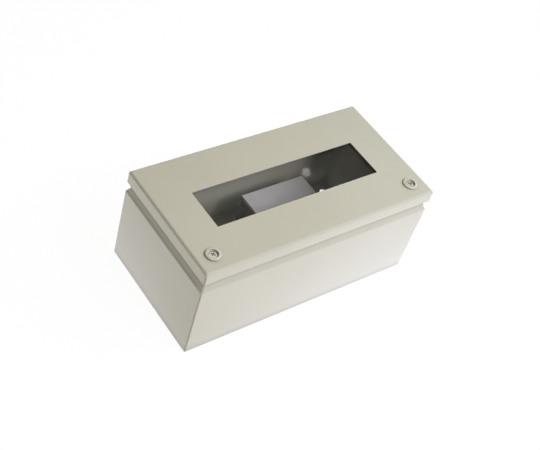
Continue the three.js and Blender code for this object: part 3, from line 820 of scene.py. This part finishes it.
def make_lid():
    outer = [(TOP - SKIRT, 0, CORNER)] + bend(3.0, -1, TOP, 10)[::-1]
    ceiling = TOP - SHEET
    inner = [(TOP - SKIRT - 1, 0), (TOP - 3.0, 0), (ceiling - 0.9, 0.12), (ceiling - 0.4, 0.45),
             (ceiling - 0.1, 0.9), (ceiling, 1.5)]
    inner = [(z, SHEET + inset, 1) for z, inset in inner]
    through = around(TOP, 5)
    lid = cut(skinned(outer, HALF_X, HALF_Y), skinned(inner, HALF_X, HALF_Y),
              prism(window_outline(0, 0.5, 4), through))
    tools = [rod(4.8, through, axis_of(f"lid_screw_{side}"), count=48) for side, _ in SIDES]
    tools += [seam(*corner, (TOP - SKIRT - 1, TOP - 3.0)) for corner in CORNERS]
    remake(cut(lid, *tools), "lid_shell", "lid_cover", bevel=0.16, angle=36, steps=3,
           dissolve=0.3)


def make_lid_stud(name, centre, thread, flare, count):
    """Threaded stud under the lid; flare is its (radius, z) foot, ending inside the sheet."""
    foot_top = TOP - SHEET + 0.2
    foot = [(0, flare[0][1])] + flare[:-1] + [(flare[-1], foot_top), (0, foot_top)]
    stud = join(threaded(**thread, centre=centre, count=count), lathe(foot, centre, count=count))
    finish(stud, name, "zinc_steel", "lid", ("lid_shell",), bevel=0, dissolve=0)


def make_lid_gasket():
    """Poured bead: a flat top against the lid and a bulging underside."""
    low, high = bounds("lid_gasket")
    middle, half = 9.0, 3.5
    profile = [(high.z, middle - half)]
    for degrees in (20, 35, 50, 65, 78, 90, 102, 115, 130, 145, 160):
        a = math.radians(degrees)
        profile.append((high.z - (high.z - low.z) * math.sin(a) ** 0.8,
                        middle - half * math.cos(a)))
    profile.append((high.z, middle + half))
    bead = seal(profile, HALF_X, HALF_Y, lambda inset: 4 - (inset - 5.5) * 2 / 7, step=4,
                wobble=0.14)
    remake(bead, "lid_gasket", bevel=0, dissolve=0)


def make_window_gasket():
    low, high = bounds("window_gasket")
    profile = [(low.z + 0.03, 0.2), (low.z + 0.03, 6.6), (low.z + 0.3, 6.8),
               (high.z - 0.3, 6.8), (high.z - 0.02, 6.6), (high.z - 0.02, 0.2),
               (high.z - 0.3, 0.05), (low.z + 0.3, 0.05)]
    strip = seal(profile, high.x, (high.y - low.y) / 2, lambda inset: 1.2, step=6,
                 middle_y=(high.y + low.y) / 2)
    remake(strip, "window_gasket", bevel=0, dissolve=0)


def make_glazing():
    """The clear pane and the steel frame that holds it."""
    low, high = PANE_LOW, PANE_HIGH
    outline = rounded_rect((low.x + 0.1, high.x - 0.1), (low.y + 0.1, high.y - 0.1), 2.0)
    pane = prism(outline, (low.z + 0.06, high.z - 0.04))
    remake(pane, "window_pane", "clear_pane", bevel=0.25)
    low, high = bounds("glazing_frame")
    surround = prism(rounded_rect((low.x, high.x), (low.y, high.y), 3.0, 8), (low.z, high.z))
    through = beyond(low.z, high.z)
    surround = cut(surround, prism(window_outline(5.5, 2.0, 8), through),
                   *[rod(2.3, through, axis_of(f"frame_nut_{i}"), count=32)
                     for i in range(1, 5)])
    remake(surround, "glazing_frame", bevel=0.2)


make_lid()
for i in range(1, 5):
    node = f"frame_nut_{i}"
    centre = axis_of(node)
    make_lid_stud(f"frame_stud_{i}", centre,
                  dict(radius=1.98, depth=0.3, pitch=0.7, span=(113.5, 122.3)),
                  [(1.9, 122.0), (2.1, 122.6), (2.7, 123.2), 2.9], count=28)
    low, high = bounds(node)
    remake(nut(7.0, 2.03, (low.z, high.z), centre, turn=0.2 * i), node, bevel=0.1)
make_lid_stud("lid_earth_stud", (-126, 30),
              dict(radius=2.9, depth=0.5, pitch=1.0, span=(108, 121.5)),
              [(2.7, 121.2), (3.0, 122.4), (3.8, 123.2), 4.1], count=32)
make_lid_gasket()
make_window_gasket()
make_glazing()


# ------------------------------------------------------------------ lid screws
def make_lid_screw(side, twist):
    node = f"lid_screw_{side}"
    low, high = bounds(node)
    centre = axis_of(node)
    top = high.z - 1.35
    shank = threaded(2.5, 0.42, 0.8, (low.z, 122.6), centre, 36)
    profile = [(0, 122.0), (2.3, 122.0), (2.55, 122.6)] + raised(top, [
        (2.55, -2.2), (4.3, -0.72), (4.55, -0.55), (4.6, -0.4), (4.35, -0.2),
        (3.5, -0.06), (2.0, 0.06), (0, 0.1)])
    recess = cross_recess(centre, top, depth=1.9, arm=2.7, width=1.1, twist=twist)
    screw = cut(join(lathe(profile, centre, count=56), shank), recess)
    remake(screw, node, bevel=0.06, angle=48, dissolve=0)


def make_screw_cup(side):
    node = f"screw_cup_{side}"
    low, high = bounds(node)
    profile = raised(low.z, [
        (2.95, 0), (4.6, 0), (4.6, 1.6), (7.9, 1.6), (8.1, 1.75), (8.12, 1.95), (8.42, 2.05),
        (8.5, 2.3), (8.42, 2.65), (8.1, 2.98), (7.5, 3.3), (6.9, 3.5), (6.3, 3.59)])
    profile += raised(high.z, [
        (5.85, 0), (5.6, -0.06), (5.42, -0.22), (5.3, -0.6), (5.12, -1.7), (4.75, -2.05),
        (3.2, -3.35), (2.95, -3.5)])
    remake(lathe(profile, axis_of(f"lid_screw_{side}"), count=64), node, bevel=0)


def make_screw_retainer(side):
    """Split ring on the screw's shank."""
    node = f"screw_retainer_{side}"
    low, high = bounds(node)
    centre = axis_of(f"lid_screw_{side}")
    profile = raised(low.z, [(2.9, 0.1), (3.1, 0), (4.8, 0), (5.0, 0.2)])
    profile += raised(high.z, [(5.0, -0.2), (4.8, 0), (3.1, 0), (2.9, -0.1)])
    slit = box((2.0, 6.0), around(0, 0.25), beyond(low.z, high.z))
    ring = cut(lathe(profile, centre, count=40), placed(slit, centre, 2.2))
    remake(ring, node, bevel=0.08)


for side, twist in (("left", 0.62), ("right", 1.1)):
    make_lid_screw(side, twist)
    make_screw_cup(side)
    make_screw_retainer(side)


# ------------------------------------------------------------------ rail and its standoffs
def make_pan_screw(node, underside, twist, shank=2.4, slotted=False):
    """Pan-head screw with a threaded shank, in the CAD screw's box."""
    low, high = bounds(node)
    centre = axis_of(node)
    radius, top = (high.x - low.x) / 2, high.z
    height = top - underside
    profile = raised(underside, [
        (0, -0.4), (shank - 0.1, -0.4), (shank - 0.1, 0), (radius - 0.15, 0), (radius, 0.15),
        (radius, height * 0.5), (radius - 0.12, height * 0.68), (radius * 0.86, height * 0.85),
        (radius * 0.6, height * 0.96)]) + [(0, top)]
    screw = join(lathe(profile, centre, count=40),
                 threaded(shank, 0.28, 0.7, (low.z, underside - 0.1), centre, 24))
    if slotted:
        slot = box(around(0, radius + 1), around(0, 0.85 / 2), (top - height * 0.42, top + 1))
        recess = placed(slot, centre, twist)
    else:
        recess = cross_recess(centre, top, height * 0.75, radius * 0.58, 0.9, twist)
    remake(cut(screw, recess), node, bevel=0.05, angle=50, dissolve=0)


def hat_section(middle, foot, half, top, toe_radius):
    """Top-hat outline of bent sheet on the enclosure floor; foot and half are half widths."""
    floor, inner = SHEET, half - SHEET
    outline = [
        (-foot, floor), (-inner, floor), (-inner, top - SHEET), (inner, top - SHEET),
        (inner, floor), (foot, floor), (foot, floor + SHEET), (half, floor + SHEET),
        (half, top), (-half, top), (-half, floor + SHEET), (-foot, floor + SHEET)]
    radii = [0, 1.8, 1.2, 1.2, 1.8, 0, 0, toe_radius, 1.4, 1.4, toe_radius, 0]
    return rounded([(middle + u, v) for u, v in outline], radii)


def make_rail():
    low, high = bounds("din_rail")
    outline = [(-17.5, 29), (-13.5, 29), (-13.5, 22.5), (13.5, 22.5), (13.5, 29), (17.5, 29),
               (17.5, 30), (12.5, 30), (12.5, 23.5), (-12.5, 23.5), (-12.5, 30), (-17.5, 30)]
    radii = [0, 0.4, 1.3, 1.3, 0.4, 0, 0, 1.3, 0.4, 0.4, 1.3, 0]
    rail = prism(rounded(outline, radii), (low.x, high.x), "x")
    slots = [prism(rounded_rect(around(-100 + 25 * k, 7.5), (-2.8, 2.8), 2.75, 8), (21, 25))
             for k in range(9)]
    remake(cut(rail, *slots), "din_rail", bevel=0.12)


for side, _ in SIDES:
    low, high = bounds(f"rail_standoff_{side}")
    standoff = prism(hat_section(0, 22, 13, 22.5, 0.6), (low.x, high.x), "x")
    standoff = cut(standoff, rod(2.8, (19, 25), axis_of(f"rail_screw_{side}"), count=32))
    remake(standoff, f"rail_standoff_{side}", bevel=0.18)
    make_pan_screw(f"rail_screw_{side}", underside=23.5, twist=0.5)
make_rail()


# ------------------------------------------------------------------ earthing
def make_earth_stud():
    low, high = bounds("earth_stud")
    centre = axis_of("earth_stud")
    foot = raised(low.z, [(0, 0), (2.95, 0), (2.8, 0.9), (2.4, 1.2), (0, 1.2)])
    stud = join(threaded(3.0, 0.5, 1.0, (low.z + 0.4, high.z), centre, 36),
                lathe(foot, centre, count=36))
    remake(stud, "earth_stud", bevel=0, dissolve=0)
    low, high = bounds("earth_nut")
    remake(nut(10.0, 3.12, (low.z, high.z), centre, turn=0.3), "earth_nut", bevel=0.12)


def make_earth_bar():
    low, high = bounds("earth_bar_support")
    support = prism(hat_section(-75, 29, 19, 13.5, 0.5), (low.y, high.y), "y")
    remake(support, "earth_bar_support", bevel=0.18)
    low, high = bounds("earth_bar")
    bar = box((low.x, high.x), (low.y, high.y), (low.z, high.z))
    screws = [axis_of(f"earth_bar_screw_{i}") for i in (1, 2)]
    sink = raised(high.z, [(0, -0.4), (2.15, -0.4), (2.75, 0.2), (0, 0.2)])
    bar = cut(bar, *[rod(2.4, beyond(low.y, high.y), (x, 17.4), "y", 36) for x, _ in screws],
              *[rod(2.15, (17, high.z + 1), screw, count=32) for screw in screws],
              *[lathe(sink, screw, count=32) for screw in screws])
    remake(bar, "earth_bar", bevel=0.35, steps=3)
    for i, twist in ((1, 0.0), (2, 0.5)):
        make_pan_screw(f"earth_bar_screw_{i}", 22.0, twist, shank=1.93, slotted=True)


make_earth_stud()
make_earth_bar()

# ------------------------------------------------------------------ switch-disconnector
BASE_LOW, BASE_HIGH = bounds("switch_base")
BASE_Y = BASE_HIGH.y
POLES = [axis_of(f"line_terminal_screw_{i}")[0] for i in (1, 2, 3)]
GAPS = [(POLES[0] + POLES[1]) / 2, (POLES[1] + POLES[2]) / 2]
DIAL = DIAL_X, DIAL_Y = axis_of("switch_handle")
TERMINAL_Y = 34.5
COVER_LOW, COVER_HIGH = bounds("switch_cover")
COVER_TOP = COVER_HIGH.z


def make_switch_base():
    bottom, top = BASE_LOW.z, BASE_HIGH.z
    outline = [(-BASE_Y, bottom), (-18.3, bottom), (-18.3, 30), (18.3, 30), (18.3, 28.7),
               (15.2, 28.7), (15.2, bottom), (BASE_Y, bottom), (BASE_Y, top), (-BASE_Y, top)]
    radii = [1.2, 0.6, 0.3, 0.3, 0.3, 0.3, 0.6, 1.2, 0, 0]
    base = prism(rounded(outline, radii), (BASE_LOW.x, BASE_HIGH.x), "x")
    cavity_floor, wall = 34.0, 2.5
    base = cut(base, box((BASE_LOW.x + wall, BASE_HIGH.x - wall), around(0, BASE_Y - wall),
                         (cavity_floor, top + 1)),
               box(around(DIAL_X, 10.4), (-BASE_Y - 1, -18), (25, 29)))
    base = join(base, *[box(around(x, 0.8), y_span, (cavity_floor - 0.5, 57))
                        for x in GAPS for y_span in ((22, BASE_Y - 2.2), (-BASE_Y + 2.2, -26.5))])
    tools = []

    def wall_span(sign, depth):
        return sorted((sign * (BASE_Y - depth), sign * (BASE_Y + 1)))

    for x in POLES:
        panel = rounded_rect(around(x, 8.6), (33.5, 55), 1.6, 6)
        for sign in (-1, 1):
            tools.append(rod(4.2, wall_span(sign, 4), (x, 42), "y", 48))
            tools.append(prism(panel, wall_span(sign, 0.8), "y"))
    for x in GAPS:
        for sign in (-1, 1):
            tools.append(box(around(x, 0.7), wall_span(sign, 1.3), (31, top + 1)))
    for k in range(9):
        for sign, end in ((-1, BASE_LOW.x), (1, BASE_HIGH.x)):
            x_span = sorted((end - sign * 0.7, end + sign * 1.0))
            tools.append(box(x_span, around(-32 + 8 * k, 2.6), (37, 54)))
    remake(cut(base, *tools), "switch_base", bevel=0.25)


def make_switch_cover():
    low, high = COVER_LOW, COVER_HIGH
    cover = prism(rounded_rect((low.x, high.x), (low.y, high.y), 1.2), (low.z, high.z))
    collar = raised(COVER_TOP, [(3.2, -0.5), (4.9, -0.5), (4.9, 0.25), (4.75, 0.4), (3.2, 0.4)])
    cover = join(cover, *[lathe(collar, (x, -TERMINAL_Y), count=40) for x in POLES])
    through = beyond(low.z, high.z)
    tools = [rod(3.6, through, (x, y)) for x in POLES for y in (-TERMINAL_Y, TERMINAL_Y)]
    tools.append(rod(4.5, through, DIAL))
    tools += [box(around(x, 0.5), (-BASE_Y - 1, -24), (COVER_TOP - 0.7, COVER_TOP + 1))
              for x in GAPS]
    ring = raised(COVER_TOP, [(15.9, -0.4), (16.9, -0.4), (16.9, 1), (15.9, 1)])
    tools.append(lathe(ring, DIAL, count=64))
    remake(cut(cover, *tools), "switch_cover", bevel=0.3, steps=3)


def make_line_shroud():
    """Angled guard over the +Y edge of the cover, with a slit between poles."""
    low, high = bounds("line_shroud")
    outline = [(14, COVER_TOP), (BASE_Y, COVER_TOP), (BASE_Y, 48), (high.y, 48),
               (high.y, high.z - 0.4), (high.y - 0.4, high.z), (14, high.z)]
    shroud = prism(rounded(outline, [0, 0, 0, 0.3, 0.3, 0.3, 0.7], 4), (low.x, high.x), "x")
    slits = [box(around(x, 0.25), (13, 17.5), (high.z - 0.35, high.z + 1)) for x in GAPS]
    remake(cut(shroud, *slits), "line_shroud", bevel=0.15)


def make_position_marks():
    """Plain marks beside the handle: a ring for open, a bar for closed."""
    ring = raised(COVER_TOP, [(1.55, -0.1), (2.3, -0.1), (2.3, 0.14), (2.2, 0.2),
                              (1.65, 0.2), (1.55, 0.14)])
    mark = lathe(ring, (DIAL_X - 21.5, DIAL_Y), count=40)
    finish(mark, "open_mark", "black_moulding", "enclosure", bevel=0)
    outline = rounded_rect(around(DIAL_X, 0.45), (DIAL_Y + 19.3, DIAL_Y + 23.9), 0.2, 4)
    mark = prism(outline, (COVER_TOP - 0.1, COVER_TOP + 0.2))
    finish(mark, "closed_mark", "black_moulding", "enclosure", bevel=0.05)


def make_handle():
    """Rotary handle: fluted disc, waisted grip and an inlaid pointer."""
    low, high = bounds("switch_handle")
    rings = []
    # height above the underside, radius, share of the full flute depth
    for rise, radius, share in (
            (0, 13.6, 0.0), (0.3, 14.3, 0.5), (0.8, 15.0, 1.0), (2.3, 15.0, 1.0),
            (3.0, 14.6, 1.0), (3.6, 14.0, 0.7), (4.1, 13.2, 0.3), (4.4, 12.2, 0.0)):
        ring = []
        for k in range(288):
            a = 2 * math.pi * k / 288
            reach = radius - share * 0.75 * max(0.0, math.cos(24 * a)) ** 1.5
            ring.append((DIAL_X + reach * math.cos(a), DIAL_Y + reach * math.sin(a),
                         low.z + rise))
        rings.append(ring)
    knob = loft(rings)
    # z, half length, half width
    levels = [
        (66.5, 17.0, 5.0), (68.0, 16.95, 4.75), (70.5, 16.85, 4.35), (73.5, 16.8, 4.2),
        (77.0, 16.8, 4.15), (78.4, 16.6, 4.05), (79.2, 16.2, 3.75), (79.75, 15.5, 3.2),
        (high.z, 14.6, 2.5)]
    grip = loft([[(DIAL_X + x, DIAL_Y + y, z)
                  for x, y in centred_rect(length, width, min(width * 0.96, 3.6), 10)]
                 for z, length, width in levels])
    grip = cut(grip, *[rod(1.1, (69.5, 77.6), (DIAL_X - 10.5 + 3.5 * k, DIAL_Y + y), count=20)
                       for k in range(7) for y in (-5.0, 5.0)])
    groove = rounded_rect((DIAL_X - 15.0, DIAL_X - 6.0), around(DIAL_Y, 0.75), 0.5, 4)
    knob = cut(join(knob, grip),
               box(around(DIAL_X, 2.9), around(DIAL_Y, 2.9), (low.z - 1, 69.3)),
               prism(groove, (high.z - 0.6, high.z + 1)))
    remake(knob, "switch_handle", bevel=0.12, angle=50)
    inlay = rounded_rect((DIAL_X - 14.8, DIAL_X - 6.2), around(DIAL_Y, 0.6), 0.4, 4)
    finish(prism(inlay, (high.z - 0.62, high.z - 0.08)), "handle_pointer", "nylon",
           BODY_OF["switch_handle"], bevel=0.06)


make_switch_base()
make_switch_cover()
make_line_shroud()
for i in (1, 2, 3):
    make_pan_screw(f"line_terminal_screw_{i}", 50.0, twist=0.4 * i, shank=2.35)
    make_pan_screw(f"load_terminal_screw_{i}", 50.0, twist=0.9 - 0.5 * i, shank=2.35)
make_position_marks()
make_handle()


# ------------------------------------------------------------------ CAD nodes that stay
def dress(obj):
    """Weld, flatten and round a CAD mesh."""
    weld = obj.modifiers.new("weld", "WELD")
    weld.merge_threshold = 2e-6
    flat = obj.modifiers.new("flat", "DECIMATE")
    flat.decimate_type = "DISSOLVE"
    flat.angle_limit = math.radians(0.8)
    rounding(obj, 0.18, 40, 2)
    obj.data.polygons.foreach_set("use_smooth", [True] * len(obj.data.polygons))
    obj.data.update()


for node, obj in NODES.items():
    use(obj, SLOT_OF[node])
    if not obj.hide_render:
        dress(obj)

# ------------------------------------------------------------------ stage, light, camera
# strengths: red, green, blue
FLOOR_GLOW = (1.13, 1.12, 1.09)
FLOOR_NEAR = (0.72, 0.78, 1.12)  # added close to the box, on its -X -Y side
SKY_BACK = (0.61, 0.565, 0.42)
SKY_DIRECTION = (0.5, 0.5, 0.7)
WALLS_IN_METAL = (0.2, 0.2, 0.19)  # even surroundings, met only by glossy rays
# what the camera sees directly
FLOOR_SEEN = (0.96, 0.96, 0.96)
WORLD_SEEN = (0.97, 0.97, 0.97)


def make_floor():
    half = 6.0
    mesh = bpy.data.meshes.new("floor")
    corners = [(x, y, 0) for x, y in corners_of((-half, half), (-half, half))]
    mesh.from_pydata(corners, [], [(0, 1, 2, 3)])
    obj = bpy.data.objects.new("floor", mesh)
    scene.collection.objects.link(obj)
    obj.location = (0, 0, -0.0004)
    pale = material_nodes("floor_pale")
    camera_ray = pale.node("LightPath")["Is Camera Ray"]
    flat = pale.scaled(0.75, 1, 0)
    distance = pale.node("VectorMath", {0: flat}, operation="LENGTH")["Value"]
    near = pale.span(distance, across=(0.5, 0.12))
    across_floor = pale.dot(pale.place, (0.7071, 0.7071, 0))
    bright = tuple(glow + extra for glow, extra in zip(FLOOR_GLOW, FLOOR_NEAR))
    pool = pale.tint(bright, FLOOR_GLOW, mask=across_floor, across=(0.05, -0.25))
    # the range runs backwards, so the base glow is the colour on the -X -Y side
    glow = pale.mix(near, FLOOR_GLOW, pool)
    colour = pale.mix(camera_ray, glow, FLOOR_SEEN)
    emission = pale.node("Emission", {"Color": colour, "Strength": 1.0})[0]
    diffuse = pale.node("BsdfDiffuse", {"Color": (0.05, 0.05, 0.05)})[0]
    mesh.materials.append(pale.surface(pale.add_shaders(emission, diffuse)))


def make_world():
    """A glow from one side of the sky, plus plain surroundings for reflections."""
    world = bpy.data.worlds.new("studio")
    scene.world = world
    sky = Nodes(world, "World", "Generated")
    black = sky.background((0.0, 0.0, 0.0))
    facing = sky.dot(sky.place, Vector(SKY_DIRECTION).normalized())
    glow = sky.span(facing, across=(-0.1, 0.95), interpolation_type="SMOOTHSTEP")
    total = sky.add_shaders(black, sky.background(SKY_BACK, glow))
    seen = sky.background(WORLD_SEEN)
    rays = sky.node("LightPath")
    walls = sky.background(WALLS_IN_METAL, rays["Is Glossy Ray"])
    total = sky.add_shaders(total, walls)
    sky.surface(sky.mix_shaders(rays["Is Camera Ray"], total, seen))


def make_light(name, rgb, place, target, size, shape="RECTANGLE", glossy=True, diffuse=True):
    light = bpy.data.lights.new(name, "AREA")
    light.shape = shape
    light.size = size
    light.size_y = size
    light.energy = max(rgb)
    light.color = tuple(part / max(rgb) for part in rgb)
    obj = bpy.data.objects.new(name, light)
    scene.collection.objects.link(obj)
    obj.location = place
    aim = Vector(target) - Vector(place)
    obj.rotation_euler = aim.to_track_quat("-Z", "Y").to_euler()
    obj.visible_glossy = glossy
    obj.visible_diffuse = diffuse
    obj.visible_camera = False


def make_camera():
    camera = bpy.data.cameras.new("camera")
    camera.sensor_fit = "HORIZONTAL"
    camera.sensor_width = 36.0
    camera.lens = 68.904
    camera.clip_start = 0.01
    camera.clip_end = 50
    obj = bpy.data.objects.new("camera", camera)
    scene.collection.objects.link(obj)
    right = Vector((0.79945416, -0.55476464, 0.23045441))
    up = Vector((0.28266425, 0.68589504, 0.67055866))
    forward = Vector((0.53006977, 0.47093969, -0.70515378))
    pose = Matrix((right, up, -forward)).transposed().to_4x4()
    pose.translation = Vector((-0.604803, -0.533713, 0.857439))
    obj.matrix_world = pose
    scene.camera = obj


make_floor()
make_world()
make_light("top_right", (7.2, 8.8, 10.3), (0.7, -0.5, 1.0), (0.1, 0, 0.1), size=0.7,
           glossy=False)
make_light("front_high", (8.8, 8.1, 9.3), (0.15, -0.95, 1.15), (0.0, 0.0, 0.09), size=0.4)
make_light("glint", (0.0096, 0.0090, 0.0087), (0.9035, 0.7476, 1.134), (0.03, -0.01, 0.12),
           size=0.021, shape="DISK", diffuse=False)
make_camera()
scene.view_settings.view_transform = "Standard"
scene.view_settings.look = "None"
scene.cycles.use_denoising = True
scene.cycles.max_bounces = 10
scene.cycles.diffuse_bounces = 6
scene.cycles.transparent_max_bounces = 12
scene.cycles.caustics_reflective = False
scene.cycles.caustics_refractive = False
